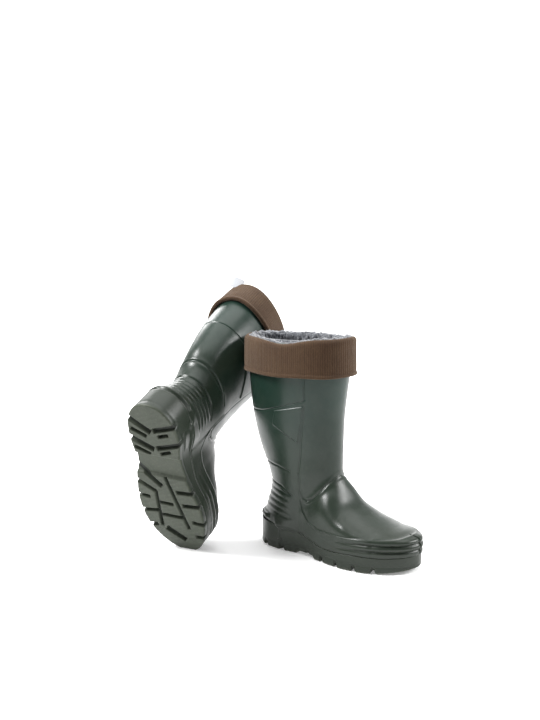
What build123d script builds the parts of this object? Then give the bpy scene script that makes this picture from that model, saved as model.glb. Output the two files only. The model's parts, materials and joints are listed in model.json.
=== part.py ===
from build123d import *
from math import atan2, cos, degrees, radians, sin
import os

# A pair of insulated hunting boots, in millimetres.
#
# Each boot is a moulded foam shell on a lugged outsole, with a felt liner inside it.
# The liner is lined with pile, and its ribbed collar turns down over the shell's rim.
# Every piece is drawn as part of a right boot: +X to the toe, +Y to the inner side of
# the foot, +Z up, with the rearmost point of the tread at the origin.
# The left boot is the mirror image, tipped up on its toe against the right one.

# ---------------------------------------------------------------- driving dimensions
foot_length = 326.0        # heel to toe, over the outsole
ball_half_width = 62.3     # half the sole's width at the ball of the foot
heel_half_width = 46.6     # half the leg's width round the heel
rim_height = 378.0         # top edge of the shell's leg
ankle_height = 116.0       # narrowest level of the back
ankle_half_width = 46.0    # half the leg's width at the ankle
calf_half_width = 65.5     # half the leg's width at the rim
toe_spring = 8.0           # how far the tip of the tread is off the floor

leg_wall = 5.0             # wall of the moulded shell
felt = 3.5                 # thickness of the liner's felt
pile = 4.5                 # thickness of the pile lining
liner_gap = 0.8            # liner to shell, all round
tread_depth = 5.5          # depth of the tread's grooves and of the arch gap
cup_floor = 17.0           # level where the outsole carries the shell
cup_wall = 2.0             # width of the outsole's rim round the shell
shell_floor = 5.0          # thickness of the shell's floor under the ball
heel_rise = 12.0           # how much higher the heel lies than the ball
footbed = 5.0              # thickness of the foam footbed
footbed_gap = 0.5          # footbed to shell, at its edge
laying_gap = 0.5           # liner to footbed
leg_split = 150.0          # level where the liner's leg is sewn to its foot

cuff_height = 62.0         # height of the turned-down collar
cuff_thickness = 5.0       # ribbed knit, folded double
cuff_gap = 1.0             # collar to shell
fold_thickness = 5.0       # knit that passes over the rim
hem_height = 6.0           # sewn hem along the collar's lower edge
hem_bulge = 1.2            # how far the hem stands out from the collar
fold_round = 0.6           # radius of the fold's outer edge, as a share of its thickness
pile_drop = 1.5            # top of the pile below the collar's top

spur_level = 55.0          # underside of the ledge behind the heel
spur_height = 7.0
spur_length = 34.0         # how far the ledge runs forward
spur_overhang = 3.0        # how far it stands out behind the heel
spur_side = 1.0            # how far it stands out at the sides
spur_root = 0.2            # where the heel's back is read, between two of its sections

tag_width = 22.0           # blank woven tag at the back of the left collar
tag_height = 22.0
tag_thickness = 0.8
tag_bearing = 200.0        # where it hangs, round the collar from the toe side
tag_rise = 3.0             # its middle above the collar's top

lean_angle = 66.74         # how far the left boot is tipped up from its sole
lean_heading = 107.34      # where its toe points, seen from above
lean_axis_heading = 191.73 # heading of the line that it tips about
toe_pivot = (298.1, 0.0, 30.0)         # the point of the boot that it tips about
lean_pivot = (-85.5, -128.4, 30.0)     # where that point stands

reach = 700.0              # larger than any boot, for cutting regions
past_cut = 1.0             # how far a cutting form runs past what it cuts
past_toe = 20.0            # how far the tread's curve is drawn beyond the toe

# --------------------------------------------------------------------------- outlines
# Sole outline: share of the length, then the outer and inner half widths as shares of
# the half width at the ball. The heel and the toe end in single points.
SOLE = [
    (0.018, 0.330, 0.330),
    (0.075, 0.610, 0.610),
    (0.185, 0.750, 0.738),
    (0.350, 0.730, 0.625),
    (0.500, 0.895, 0.740),
    (0.650, 1.000, 0.945),
    (0.800, 0.895, 0.925),
    (0.910, 0.620, 0.740),
    (0.978, 0.270, 0.450),
]
toe_centre_y = 6.0

# Leg sections up to the ankle, evenly spaced from the lowest: back edge and front edge.
heel_base = 15.0
HEEL = [(0.0, 122.0), (3.0, 133.0), (14.5, 150.0)]
# Leg sections from the ankle to the rim, evenly spaced: back edge, front edge, and how
# far the half width has come from the ankle's to the calf's.
LEG = [
    (23.0, 162.0, 0.00),
    (17.5, 165.0, 0.14),
    (2.0, 165.0, 0.20),
    (-7.5, 166.5, 0.40),
    (-14.0, 169.0, 0.62),
    (-17.0, 173.5, 0.81),
    (-19.0, 178.0, 0.93),
    (-20.5, 182.0, 0.98),
    (-21.0, 184.0, 1.00),
]
# Forefoot sections, evenly spaced along the boot: height of the instep's ridge, and
# height where the side wall turns in.
vamp_start = 0.20
VAMP = [
    (62.0, 34.0),
    (88.0, 42.0),
    (116.0, 50.0),
    (141.0, 56.0),
    (141.0, 58.0),
    (110.0, 58.0),
    (93.5, 57.0),
    (82.0, 55.0),
    (74.0, 52.0),
    (67.5, 48.0),
    (57.0, 40.0),
]
ridge_y = 10.0
vamp_margin = 1.5          # forefoot sections past the sole outline, which trims them
toe_share = 0.82           # past this share of the length only the outline narrows

# Upper edge of the outsole, from behind the heel to past the toe: along, up.
PARTING = [(-60, 46), (31, 49), (63, 47), (94, 44), (124, 36), (157, 28), (230, 28), (400, 34)]
# Underside of the outsole, from behind the heel: the arch gap is cut up into it.
arch_start = 102.0
arch_end = 148.0
arch_slope = 4.0
spring_start = 0.73        # share of the length where the toe begins to rise
# The shell's floor falls from the heel to the ball between these two points.
heel_floor_end = 95.0
ball_floor_start = 170.0

# Grooves of the tread: start and end as shares of the length and of the half width at
# the ball, outer side negative, then the groove's width.
GROOVES = [
    (0.075, -0.80, 0.165, -0.06, 9.0),
    (0.160, -0.64, 0.195, -0.22, 5.0),
    (0.205, -0.90, 0.272, -0.08, 9.0),
    (0.276, -0.66, 0.308, -0.22, 5.0),
    (0.105, 0.80, 0.155, 0.04, 7.0),
    (0.168, 0.46, 0.188, 0.16, 4.0),
    (0.215, 0.80, 0.265, 0.04, 7.0),
    (0.275, 0.42, 0.298, 0.12, 4.0),
    (0.375, -0.90, 0.520, -0.12, 8.0),
    (0.490, -1.05, 0.565, -0.36, 6.0),
    (0.565, -0.36, 0.815, -0.44, 5.0),
    (0.455, 0.06, 0.800, 0.45, 5.0),
    (0.545, 0.32, 0.535, 0.95, 6.0),
    (0.635, 0.42, 0.620, 1.05, 6.0),
    (0.745, 0.62, 0.750, 1.05, 6.0),
    (0.640, -0.36, 0.640, 0.10, 5.0),
    (0.730, -0.42, 0.725, 0.30, 5.0),
    (0.610, -1.10, 0.615, -0.62, 5.0),
    (0.725, -1.10, 0.705, -0.44, 5.0),
    (0.835, -1.00, 0.815, -0.60, 6.0),
    (0.830, -0.30, 0.900, 0.22, 12.0),
    (0.855, 0.62, 0.850, 0.98, 6.0),
]


def mix(low, high, share):
    """The value a share of the way from low to high."""
    return low + (high - low) * share


# ------------------------------------------------------------------------ whole forms
def half_widths(share):
    """Outer and inner half widths of the sole at a share of its length."""
    share = min(share, toe_share)
    for low, high in zip(SOLE, SOLE[1:]):
        if low[0] <= share <= high[0]:
            part = (share - low[0]) / (high[0] - low[0])
            outer = mix(low[1], high[1], part) * ball_half_width
            inner = mix(low[2], high[2], part) * ball_half_width
            return outer, inner


def sole_prism(inset, low, high):
    """The sole outline drawn in by inset, standing from low to high."""
    middle = foot_length / 2
    shrink = (middle - inset) / middle
    outer = []
    inner = []
    for share, outer_share, inner_share in SOLE:
        x = middle + (share * foot_length - middle) * shrink
        outer.append((x, inset - outer_share * ball_half_width))
        inner.append((x, inner_share * ball_half_width - inset))
    heel = (inset, 0)
    toe = (foot_length - inset, toe_centre_y)
    with BuildPart() as prism:
        with BuildSketch(Plane.XY.offset(low)):
            with BuildLine():
                Spline([heel] + outer + [toe] + inner[::-1], periodic=True)
            make_face()
        extrude(amount=high - low)
    return prism.part


def leg_form(inset):
    """The leg, ankle and heel as one closed form, drawn in by inset."""
    sections = []
    for number, (back, front) in enumerate(HEEL):
        level = mix(heel_base, ankle_height, number / len(HEEL))
        sections.append((level, back, front, heel_half_width))
    for number, (back, front, spread) in enumerate(LEG):
        level = mix(ankle_height, rim_height, number / (len(LEG) - 1))
        sections.append((level, back, front, mix(ankle_half_width, calf_half_width, spread)))
    with BuildPart() as leg:
        for level, back, front, half_width in sections:
            with BuildSketch(Plane.XY.offset(level)):
                with Locations(((back + front) / 2, 0)):
                    Ellipse((front - back) / 2 - inset, half_width - inset)
        loft()
    return leg.part


def vamp_form(inset):
    """The forefoot as one closed form with an arched top, drawn in by inset."""
    step = (1 - vamp_start) / (len(VAMP) - 1)
    with BuildPart() as vamp:
        for number, (ridge, shoulder) in enumerate(VAMP):
            share = vamp_start + step * number
            before = VAMP[max(number - 1, 0)][0]
            after = VAMP[min(number + 1, len(VAMP) - 1)][0]
            slope = (after - before) / (2 * step * foot_length)
            outer, inner = half_widths(share)
            left = inset - outer - vamp_margin
            right = inner + vamp_margin - inset
            top = ridge - inset * (1 + slope**2) ** 0.5
            turn = shoulder - inset
            with BuildSketch(Plane.YZ.offset(share * foot_length)):
                with BuildLine():
                    Line((left, 0), (right, 0))
                    Line((right, 0), (right, turn))
                    EllipticalCenterArc(
                        (ridge_y, turn), right - ridge_y, top - turn, 0, arc_size=90
                    )
                    EllipticalCenterArc(
                        (ridge_y, turn), ridge_y - left, top - turn, 90, arc_size=90
                    )
                    Line((left, turn), (left, 0))
                make_face()
        loft()
    return vamp.part


def boot_form(inset):
    """The whole boot as one closed form, drawn in by inset from the shell's outside."""
    vamp = vamp_form(inset)
    outline = sole_prism(inset, 0, rim_height)
    leg = leg_form(inset)
    with BuildPart() as form:
        add(vamp)
        add(outline, mode=Mode.INTERSECT)
        add(leg)
    return form.part


# ---------------------------------------------------------------------------- regions
def side_region(points):
    """Everything between the corners of a side view, right across the boot."""
    with BuildPart() as region:
        with BuildSketch(Plane.XZ):
            with BuildLine():
                Polyline(points, close=True)
            make_face()
        extrude(amount=reach, both=True)
    return region.part


def floor_region(low, high):
    """The room between two heights above the shell's floor, which falls to the ball."""
    line = [
        (-reach, heel_rise),
        (heel_floor_end, heel_rise),
        (ball_floor_start, 0),
        (reach, 0),
    ]
    ground = cup_floor + shell_floor
    lower = [(x, ground + z + low) for x, z in line]
    upper = [(x, ground + z + high) for x, z in reversed(line)]
    return side_region(lower + upper)


def level_region(low, high):
    """The room between two levels."""
    return side_region([(-reach, low), (reach, low), (reach, high), (-reach, high)])


def rim_prism(inset, low, high):
    """The leg's section at the rim, drawn in by inset, standing from low to high."""
    back, front, _ = LEG[-1]
    with BuildPart() as prism:
        with BuildSketch(Plane.XY.offset(low)):
            with Locations(((back + front) / 2, 0)):
                Ellipse((front - back) / 2 - inset, calf_half_width - inset)
        extrude(amount=high - low)
    return prism.part


def parting_region():
    """Everything under the outsole's upper edge."""
    with BuildPart() as region:
        with BuildSketch(Plane.XZ):
            with BuildLine():
                Spline(PARTING)
                Line(PARTING[-1], (PARTING[-1][0], -reach))
                Line((PARTING[-1][0], -reach), (PARTING[0][0], -reach))
                Line((PARTING[0][0], -reach), PARTING[0])
            make_face()
        extrude(amount=reach, both=True)
    return region.part


def tread_region():
    """Everything above the outsole's underside: the arch gap and the toe spring."""
    toe_start = spring_start * foot_length
    toe_end = foot_length + past_toe
    rise = toe_spring * ((toe_end - toe_start) / (foot_length - toe_start)) ** 2
    level = (toe_start, 0)
    with BuildPart() as region:
        with BuildSketch(Plane.XZ):
            with BuildLine():
                Polyline(
                    (-reach, 0),
                    (arch_start, 0),
                    (arch_start + arch_slope, tread_depth),
                    (arch_end - arch_slope, tread_depth),
                    (arch_end, 0),
                    level,
                )
                Spline([level, (toe_end, rise)],
                       tangents=[(1, 0), (1, 2 * rise / (toe_end - toe_start))])
                Polyline((toe_end, rise), (toe_end, reach), (-reach, reach), (-reach, 0))
            make_face()
        extrude(amount=reach, both=True)
    return region.part


# ----------------------------------------------------------------------- sole and shell
def toe_rise(x):
    """How far the tread is off the floor at a distance from the heel."""
    share = max(0, x / foot_length - spring_start) / (1 - spring_start)
    return toe_spring * share**2


def make_outsole(under_parting):
    """The tread unit: a lugged slab with a raised rim that cups the shell."""
    blank = sole_prism(0, 0, rim_height)
    cup = sole_prism(cup_wall, cup_floor, rim_height)
    above_tread = tread_region()
    with BuildPart() as outsole:
        add(blank)
        add(under_parting, mode=Mode.INTERSECT)
        add(above_tread, mode=Mode.INTERSECT)
        add(cup, mode=Mode.SUBTRACT)
        for x_start, y_start, x_end, y_end, width in GROOVES:
            start = Vector(x_start * foot_length, y_start * ball_half_width)
            end = Vector(x_end * foot_length, y_end * ball_half_width)
            run = end - start
            middle = (start + end) / 2
            with BuildSketch():
                with Locations(middle):
                    Rectangle(run.length, width, rotation=degrees(atan2(run.Y, run.X)))
            extrude(amount=tread_depth + toe_rise(middle.X), mode=Mode.SUBTRACT)
    return outsole.part


def make_spur():
    """The ledge behind the heel that the other foot treads on to pull the boot off."""
    front = HEEL[-1][1]
    heel_back = mix(HEEL[1][0], HEEL[2][0], spur_root)
    with BuildPart() as spur:
        with BuildSketch(Plane.XY.offset(spur_level)):
            with Locations(((heel_back + front) / 2, 0)):
                Ellipse(
                    (front - heel_back) / 2 + spur_overhang, heel_half_width + spur_side
                )
        extrude(amount=spur_height)
        with BuildSketch(Plane.XY.offset(spur_level)):
            with Locations((spur_length, 0)):
                Rectangle(reach, reach, align=(Align.MIN, Align.CENTER))
        extrude(amount=spur_height, mode=Mode.SUBTRACT)
    return spur.part


def make_plug(under_parting):
    """The shell's foot below the parting line, which sits in the outsole's cup."""
    with BuildPart() as plug:
        add(sole_prism(cup_wall, cup_floor, rim_height))
        add(under_parting, mode=Mode.INTERSECT)
    return plug.part


def make_shell(outside, under_parting):
    """The moulded upper: leg, heel, instep and toe, open at the top."""
    plug = make_plug(under_parting)
    spur = make_spur()
    cavity = layer(leg_wall, 0, reach)
    with BuildPart() as shell:
        add(outside)
        add(spur)
        add(under_parting, mode=Mode.SUBTRACT)
        add(plug)
        add(cavity, mode=Mode.SUBTRACT)
    return shell.part


# ------------------------------------------------------------------ footbed and liner
def layer(inset, low, high):
    """The boot's form drawn in by inset, between two heights above the shell's floor."""
    form = boot_form(inset)
    room = floor_region(low, high)
    with BuildPart() as solid:
        add(form)
        add(room, mode=Mode.INTERSECT)
    return solid.part


def cut_between(solid, low, high):
    """The part of a solid that lies between two levels."""
    band = level_region(low, high)
    with BuildPart() as piece:
        add(solid)
        add(band, mode=Mode.INTERSECT)
    return piece.part


def hollow(outer, inner):
    """A solid less another that lies inside it."""
    with BuildPart() as piece:
        add(outer)
        add(inner, mode=Mode.SUBTRACT)
    return piece.part


def with_ring(piece, outer_inset, inner_inset, top):
    """A leg tube carried on past the rim as a straight ring."""
    outer = rim_prism(outer_inset, rim_height, top)
    inner = rim_prism(inner_inset, rim_height - past_cut, top + past_cut)
    with BuildPart() as longer:
        add(outer)
        add(inner, mode=Mode.SUBTRACT)
        add(piece)
    return longer.part


# ------------------------------------------------------------------------------ collar
def make_band(outer_inset, inner_inset, low, high):
    """A ring round the leg between two levels."""
    outer = rim_prism(outer_inset, low, high)
    inner = rim_prism(inner_inset, low, high)
    return hollow(outer, inner)


def make_cuff():
    """The ribbed collar: a fold over the rim and a skirt that hangs outside the shell."""
    skirt = make_band(-cuff_gap - cuff_thickness, -cuff_gap, cuff_bottom + hem_height, fold_level)
    fold = make_band(-cuff_gap - cuff_thickness, felt_inset + felt, fold_level, cuff_top)
    with BuildPart() as cuff:
        add(skirt)
        add(fold)
        outer_top = cuff.faces().sort_by(Axis.Z)[-1].outer_wire().edges()
        fillet(outer_top, fold_thickness * fold_round)
    return cuff.part


def make_tag():
    """A blank woven tag that hangs at the back of the collar and stands above it."""
    back, front, _ = LEG[-1]
    half_length = (front - back) / 2 + cuff_gap + cuff_thickness
    half_width = calf_half_width + cuff_gap + cuff_thickness
    bearing = radians(tag_bearing)
    spot = ((back + front) / 2 + half_length * cos(bearing), half_width * sin(bearing))
    out = Vector(cos(bearing) / half_length, sin(bearing) / half_width).normalized()
    face = Plane(
        origin=(spot[0], spot[1], cuff_top + tag_rise),
        x_dir=(-out.Y, out.X, 0),
        z_dir=(out.X, out.Y, 0),
    )
    with BuildPart() as tag:
        with BuildSketch(face):
            Rectangle(tag_width, tag_height)
        extrude(amount=tag_thickness)
    return tag.part


# ------------------------------------------------------------------------------ levels
felt_inset = leg_wall + liner_gap
pile_inset = felt_inset + felt
foot_inset = pile_inset + pile
fold_level = rim_height + cuff_gap
cuff_top = fold_level + fold_thickness
cuff_bottom = cuff_top - cuff_height
pile_top = cuff_top - pile_drop
sole_low = footbed + laying_gap
sole_high = sole_low + felt
pile_high = sole_high + pile

# ------------------------------------------------------------------------------ pieces
outside = boot_form(0)
under_parting = parting_region()
felt_outside = layer(felt_inset, sole_high, reach)
felt_inside = boot_form(pile_inset)
pile_outside = layer(pile_inset, sole_high, reach)
pile_inside = layer(foot_inset, pile_high, reach)

felt_sock = hollow(felt_outside, felt_inside)
pile_sock = hollow(pile_outside, pile_inside)
felt_leg = cut_between(felt_sock, leg_split, rim_height)
pile_leg = cut_between(pile_sock, leg_split, rim_height)

boot = {
    "shell": make_shell(outside, under_parting),
    "outsole": make_outsole(under_parting),
    "insole": layer(leg_wall + footbed_gap, 0, footbed),
    "liner_sole": layer(felt_inset, sole_low, sole_high),
    "liner_foot": cut_between(felt_sock, 0, leg_split),
    "liner_leg": with_ring(felt_leg, felt_inset, pile_inset, fold_level),
    "pile_foot": cut_between(pile_sock, 0, leg_split),
    "pile_leg": with_ring(pile_leg, pile_inset, foot_inset, pile_top),
    "cuff": make_cuff(),
    "cuff_hem": make_band(
        -cuff_gap - cuff_thickness - hem_bulge, -cuff_gap, cuff_bottom, cuff_bottom + hem_height
    ),
}
tag = make_tag()

# The left boot: mirrored, its toe turned to its heading, then tipped up from its sole.
tip_axis = Axis(
    lean_pivot, (cos(radians(lean_axis_heading)), sin(radians(lean_axis_heading)), 0)
)


def lean(piece):
    """A right boot's piece as the left boot's, in its place against the right one."""
    turned = piece.mirror(Plane.XZ).moved(Location(-Vector(toe_pivot)))
    stood = turned.moved(Location(lean_pivot, (0, 0, lean_heading)))
    return stood.rotate(tip_axis, lean_angle)


# ------------------------------------------------------------------------------- files
os.makedirs("parts", exist_ok=True)
nodes = {"left_tag": lean(tag)}
for name, piece in boot.items():
    nodes["right_" + name] = piece
    nodes["left_" + name] = lean(piece)
for name, piece in nodes.items():
    piece.label = name
    export_step(piece, "parts/" + name + ".step")
    print(name, round(piece.volume / 1000, 1), "cm3", len(piece.solids()), piece.is_valid)
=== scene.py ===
# %% [markdown]
# # A pair of insulated hunting boots
# The real boots are moulded foam shells on lugged soles, with a felt and pile sock inside
# and a ribbed knit collar turned down over the rim. One boot stands, and the other leans
# on it with its toe on the floor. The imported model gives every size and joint, and this
# lesson gives each piece its moulded or knitted surface around that frame.

# %% The frame
import json
from math import pi, radians

import bmesh
import bpy
import numpy as np
from mathutils import Matrix, Vector


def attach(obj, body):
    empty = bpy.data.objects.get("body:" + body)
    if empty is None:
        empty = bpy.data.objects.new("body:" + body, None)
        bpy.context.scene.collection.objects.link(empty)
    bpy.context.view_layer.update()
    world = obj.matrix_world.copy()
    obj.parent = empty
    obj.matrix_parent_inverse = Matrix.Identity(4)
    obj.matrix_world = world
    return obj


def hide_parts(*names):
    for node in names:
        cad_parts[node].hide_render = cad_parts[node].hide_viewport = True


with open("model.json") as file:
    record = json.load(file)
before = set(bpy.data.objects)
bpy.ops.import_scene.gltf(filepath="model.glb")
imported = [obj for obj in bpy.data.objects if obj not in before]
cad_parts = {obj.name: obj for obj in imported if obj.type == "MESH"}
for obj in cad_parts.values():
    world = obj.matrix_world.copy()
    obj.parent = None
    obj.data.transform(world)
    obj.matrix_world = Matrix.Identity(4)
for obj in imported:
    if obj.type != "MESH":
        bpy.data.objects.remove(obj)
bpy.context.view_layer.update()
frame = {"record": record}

# %% [markdown]
# ## Where each boot stands
# Both boots are drawn once, as a right boot in millimetres: +X to the toe, +Y to the inner
# side of the foot, +Z up. Two matrices put that drawing in place. The right one only
# changes millimetres to metres. The left one also mirrors the boot, turns its toe, and
# tips it up on that toe until its leg meets the right boot.

# %% Places of the two boots
TO_METRES = Matrix.Scale(0.001, 4)
TOE_PIVOT = Vector((298.1, 0.0, 30.0))
TOE_HEADING = radians(107.34)
LEAN_ANGLE = radians(66.74)
LEAN_HEADING = radians(191.73)
LEAN_AXIS = Vector((np.cos(LEAN_HEADING), np.sin(LEAN_HEADING), 0))

tip = next(j for j in frame["record"]["behaviour"]["joints"] if j["name"] == "left_boot_tip")
turn_toe = Matrix.Rotation(TOE_HEADING, 4, "Z")
tip_up = Matrix.Rotation(LEAN_ANGLE, 4, LEAN_AXIS)
mirror_across = Matrix.Scale(-1, 4, Vector((0, 1, 0)))
PLACES = {
    "right": TO_METRES,
    "left": Matrix.Translation(tip["pos_m"]) @ tip_up @ turn_toe @ TO_METRES
    @ Matrix.Translation(-TOE_PIVOT) @ mirror_across,
}
print("left boot stands on its toe at", tip["pos_m"])

# %% [markdown]
# ## The boot's outline
# The moulded shape is too soft for boxes and cylinders, so it is written down the way a
# last maker would: a few sections up the leg, a few along the foot, and the plan of the
# sole. All are in millimetres, and match the frame's shell.

# %% Sections of the boot
FOOT_LENGTH = 326.0
BALL = 62.3
HEEL_WIDTH = 46.6
ANKLE_LEVEL = 116.0
RIM = 378.0
FOOT_LEVELS = np.linspace(15, ANKLE_LEVEL, 4)[:3]
LEG_LEVELS = np.concatenate([FOOT_LEVELS, np.linspace(ANKLE_LEVEL, RIM, 9)])
LEG_BACK = [0, 3, 14.5, 23, 17.5, 2, -7.5, -14, -17, -19, -20.5, -21]
LEG_FRONT = [122, 133, 150, 164, 167.5, 168.5, 169, 170, 173.5, 178, 182, 184]
LEG_WIDTH = [46.6, 46.6, 46.6, 46, 48.7, 49.9, 53.8, 58.1, 61.8, 64.1, 65.1, 65.5]
VAMP_AT = np.linspace(0.2, 1, 11) * FOOT_LENGTH
VAMP_RIDGE = [62, 88, 116, 140, 136, 104, 87, 76.5, 69, 64, 56]
VAMP_TURN = [34, 42, 50, 56, 58, 58, 57, 55, 52, 48, 40]
RIDGE_Y = 10.0
SOLE_AT = np.array([0.018, 0.075, 0.185, 0.35, 0.5, 0.65, 0.8, 0.91, 0.978]) * FOOT_LENGTH
SOLE_OUTER = np.array([0.33, 0.61, 0.75, 0.73, 0.895, 1.0, 0.895, 0.62, 0.27]) * BALL
SOLE_INNER = np.array([0.33, 0.61, 0.738, 0.625, 0.74, 0.945, 0.925, 0.74, 0.45]) * BALL
TOE_Y = 6.0
TOE_LIMIT = 0.82 * FOOT_LENGTH
PARTING_AT = [-60, 31, 63, 94, 124, 157, 230, 400]
PARTING = [46, 49, 47, 44, 36, 28, 28, 34]


def curve(x, stations, values):
    """A smooth curve through the values at the stations, held level past its ends."""
    stations = np.asarray(stations, float)
    values = np.asarray(values, float)
    slopes = np.gradient(values, stations)
    i = np.clip(np.searchsorted(stations, x) - 1, 0, len(stations) - 2)
    width = stations[i + 1] - stations[i]
    t = np.clip((x - stations[i]) / width, 0, 1)
    start = (1 + 2 * t) * (1 - t) ** 2 * values[i] + t * (1 - t) ** 2 * width * slopes[i]
    end = t**2 * (3 - 2 * t) * values[i + 1] + t**2 * (t - 1) * width * slopes[i + 1]
    return start + end


# %% [markdown]
# ## The plan of the sole as a field
# A point's distance from the sole's outline is needed many thousands of times. It is worked
# out once on a two-millimetre grid and read from there.

# %% Distance from the sole outline
GRID_STEP = 2.0
GRID_X = np.arange(-30, 361, GRID_STEP)
GRID_Y = np.arange(-90, 91, GRID_STEP)


def outline_points(count=400):
    """Points along the closed plan of the sole."""
    x = np.concatenate([[0], SOLE_AT, [FOOT_LENGTH], SOLE_AT[::-1]])
    y = np.concatenate([[0], -SOLE_OUTER, [TOE_Y], SOLE_INNER[::-1]])
    steps = np.hypot(np.diff(np.append(x, x[0])), np.diff(np.append(y, y[0])))
    run = np.concatenate([[0], np.cumsum(steps)])
    stations = np.concatenate([run[:-1] - run[-1], run[:-1], run[:-1] + run[-1]])
    at = np.linspace(0, run[-1], count, endpoint=False)
    return curve(at, stations, np.tile(x, 3)), curve(at, stations, np.tile(y, 3))


def outline_field():
    """Distance from the outline over the grid, negative inside."""
    px, py = outline_points()
    gx, gy = np.meshgrid(GRID_X, GRID_Y, indexing="ij")
    best = np.full(gx.shape, 1e9)
    inside = np.zeros(gx.shape, bool)
    for ax, ay, bx, by in zip(px, py, np.roll(px, -1), np.roll(py, -1)):
        dx, dy = bx - ax, by - ay
        t = np.clip(((gx - ax) * dx + (gy - ay) * dy) / (dx * dx + dy * dy + 1e-9), 0, 1)
        best = np.minimum(best, np.hypot(gx - ax - t * dx, gy - ay - t * dy))
        crosses = (ay > gy) != (by > gy)
        rise = by - ay if abs(by - ay) > 1e-9 else 1e-9
        inside ^= crosses & (gx < ax + (gy - ay) * dx / rise)
    return np.where(inside, -best, best)


SOLE_FIELD = outline_field()


def sole_gap(x, y):
    """Distance of plan points from the sole's outline, negative inside."""
    u = np.clip((x - GRID_X[0]) / GRID_STEP, 0, len(GRID_X) - 1.001)
    v = np.clip((y - GRID_Y[0]) / GRID_STEP, 0, len(GRID_Y) - 1.001)
    i, j = u.astype(int), v.astype(int)
    u, v = u - i, v - j
    near = SOLE_FIELD[i, j] * (1 - v) + SOLE_FIELD[i, j + 1] * v
    far = SOLE_FIELD[i + 1, j] * (1 - v) + SOLE_FIELD[i + 1, j + 1] * v
    return near * (1 - u) + far * u


print("sole area", round((SOLE_FIELD < 0).sum() * GRID_STEP**2 / 100), "cm2")

# %% [markdown]
# ## The boot as one distance field
# The leg is a stack of ellipses and the foot a row of arches trimmed by the sole's plan.
# Joining the two with a soft minimum leaves the small fillet that a mould has, which a
# boolean union would not. The same field, drawn in, gives the inside and the sock.

# %% Distance from the boot's surface
PLAN_MARGIN = 1.5  # the arches stand this far past the sole's plan, which then trims them
TRIM_ROUND = 6.0
ANKLE_FILLET = 16.0


def soft_min(a, b, reach):
    """The lesser of two distances, rounded over where they are close."""
    mix = np.clip(0.5 + 0.5 * (b - a) / reach, 0, 1)
    return b + (a - b) * mix - reach * mix * (1 - mix)


def ellipse_gap(u, v, a, b):
    """Distance from an ellipse with half sizes a and b, close to it."""
    size = np.sqrt((u / a) ** 2 + (v / b) ** 2) + 1e-9
    slope = np.sqrt((u / a**2) ** 2 + (v / b**2) ** 2) + 1e-9
    return size * (size - 1) / slope


def leg_gap(p, inset):
    """Distance from the leg drawn in by inset."""
    back = curve(p[:, 2], LEG_LEVELS, LEG_BACK)
    front = curve(p[:, 2], LEG_LEVELS, LEG_FRONT)
    width = curve(p[:, 2], LEG_LEVELS, LEG_WIDTH)
    half = (front - back) / 2 - inset
    return ellipse_gap(p[:, 0] - (back + front) / 2, p[:, 1], half, width - inset)


def foot_gap(p, inset):
    """Distance from the foot drawn in by inset."""
    x, y, z = p.T
    ridge = curve(x, VAMP_AT, VAMP_RIDGE)
    slope = curve(x + 2, VAMP_AT, VAMP_RIDGE) - curve(x - 2, VAMP_AT, VAMP_RIDGE)
    turn = curve(x, VAMP_AT, VAMP_TURN) - inset
    at = np.minimum(x, TOE_LIMIT)
    outer = np.interp(at, SOLE_AT, SOLE_OUTER) + PLAN_MARGIN + RIDGE_Y
    inner = np.interp(at, SOLE_AT, SOLE_INNER) + PLAN_MARGIN - RIDGE_Y
    half = np.where(y < RIDGE_Y, outer, inner) - inset
    rise = ridge - inset * np.sqrt(1 + (slope / 4) ** 2) - turn
    arch = ellipse_gap(y - RIDGE_Y, np.maximum(z - turn, 0), half, np.maximum(rise, 2))
    trimmed = -soft_min(-arch, -(sole_gap(x, y) + inset), TRIM_ROUND)
    return np.maximum(trimmed, VAMP_AT[0] - x)


def boot_gap(p, inset=0.0):
    """Distance from the whole boot drawn in by inset."""
    return soft_min(leg_gap(p, inset), foot_gap(p, inset), ANKLE_FILLET)


def slope_of(field, p):
    """The field's gradient, which points straight out of its surface."""
    step = 0.4
    columns = []
    for axis in np.eye(3) * step:
        columns.append((field(p + axis) - field(p - axis)) / (2 * step))
    return np.stack(columns, 1)


def straight_out(field, p):
    """The slope of the field, made one unit long."""
    slope = slope_of(field, p)
    return slope / np.linalg.norm(slope, axis=1).clip(0.1)[:, None]


# %% [markdown]
# ## Casting a tube on the field
# A boot is a bent tube, so rays are cast outwards from a bent spine: level rays down the
# leg, rays that swing round the instep, upright ones along the foot and a fan in the toe.
# Each ray stops on the surface, which gives an even grid with one pole at the toe's tip.

# %% The spine and its rays
SWING = (205.0, 180.0)  # where the rays swing about, forward and up
SWING_REACH, SWING_BULGE = 121.0, 18.0
FOOT_MIDDLE = 59.0
TOE_ROOT = 268.0
CAST_STEPS = 60
LONGEST_RAY = 260.0


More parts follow.
